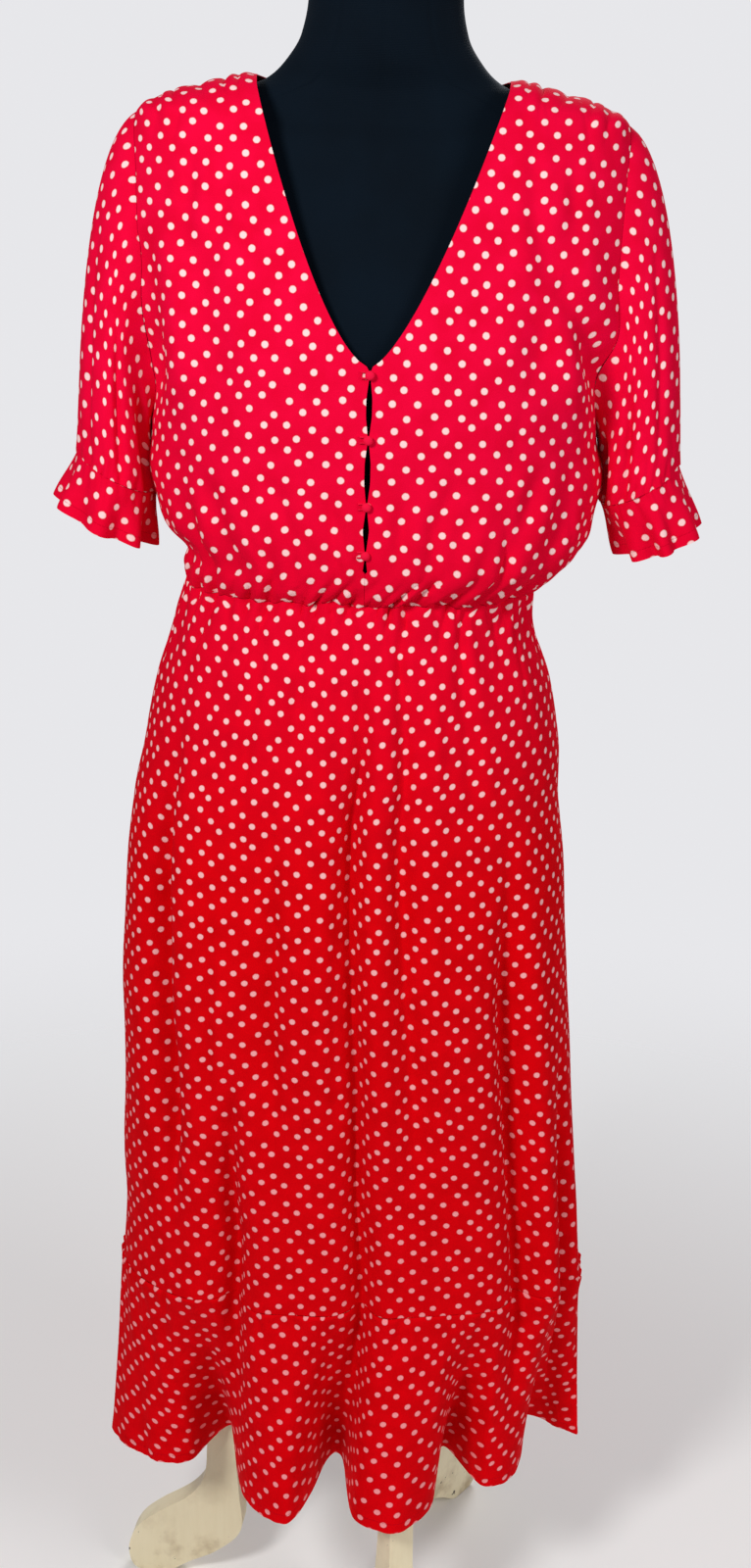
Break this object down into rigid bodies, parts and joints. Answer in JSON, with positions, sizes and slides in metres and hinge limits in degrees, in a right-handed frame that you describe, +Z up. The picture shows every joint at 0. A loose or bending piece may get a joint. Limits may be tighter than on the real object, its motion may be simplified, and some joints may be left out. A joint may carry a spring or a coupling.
{
  "type": "polka dot maxi dress on a limbless dress form with a wooden tripod stand",
  "caption": "Red dotted maxi dress with V neck, short gathered sleeves, blouson waist and flounced hem, worn by a limbless dress form on a wooden tripod.",
  "frame": {"origin": "middle of the underside of the whole box, on the floor below the dress form", "axes": "+Z up, -Y towards the front of the dress, +X towards the wearer's left"},
  "size_m": [0.559, 0.397, 1.566],
  "materials": {
    "printed_crepe": "soft matt crepe, crimson red with cream dots",
    "plain_crepe": "plain red covered buttons and loops",
    "black_jersey": "black knitted cover, matt",
    "cream_paint": "cream painted wood, eggshell"
  },
  "bodies": {
    "root": {"front_bodice_right": "printed_crepe", "front_bodice_left": "printed_crepe", "back_bodice": "printed_crepe", "sleeve_right": "printed_crepe", "sleeve_left": "printed_crepe", "cuff_frill_right": "printed_crepe", "cuff_frill_left": "printed_crepe", "skirt_front": "printed_crepe", "skirt_back": "printed_crepe", "flounce_front": "printed_crepe", "flounce_back": "printed_crepe", "button_1": "plain_crepe", "button_2": "plain_crepe", "button_3": "plain_crepe", "button_4": "plain_crepe", "loop_1": "plain_crepe", "loop_2": "plain_crepe", "loop_3": "plain_crepe", "loop_4": "plain_crepe", "form_torso": "black_jersey", "stand_pole": "cream_paint", "stand_leg_1": "cream_paint", "stand_leg_2": "cream_paint", "stand_leg_3": "cream_paint"}
  },
  "joints": []
}
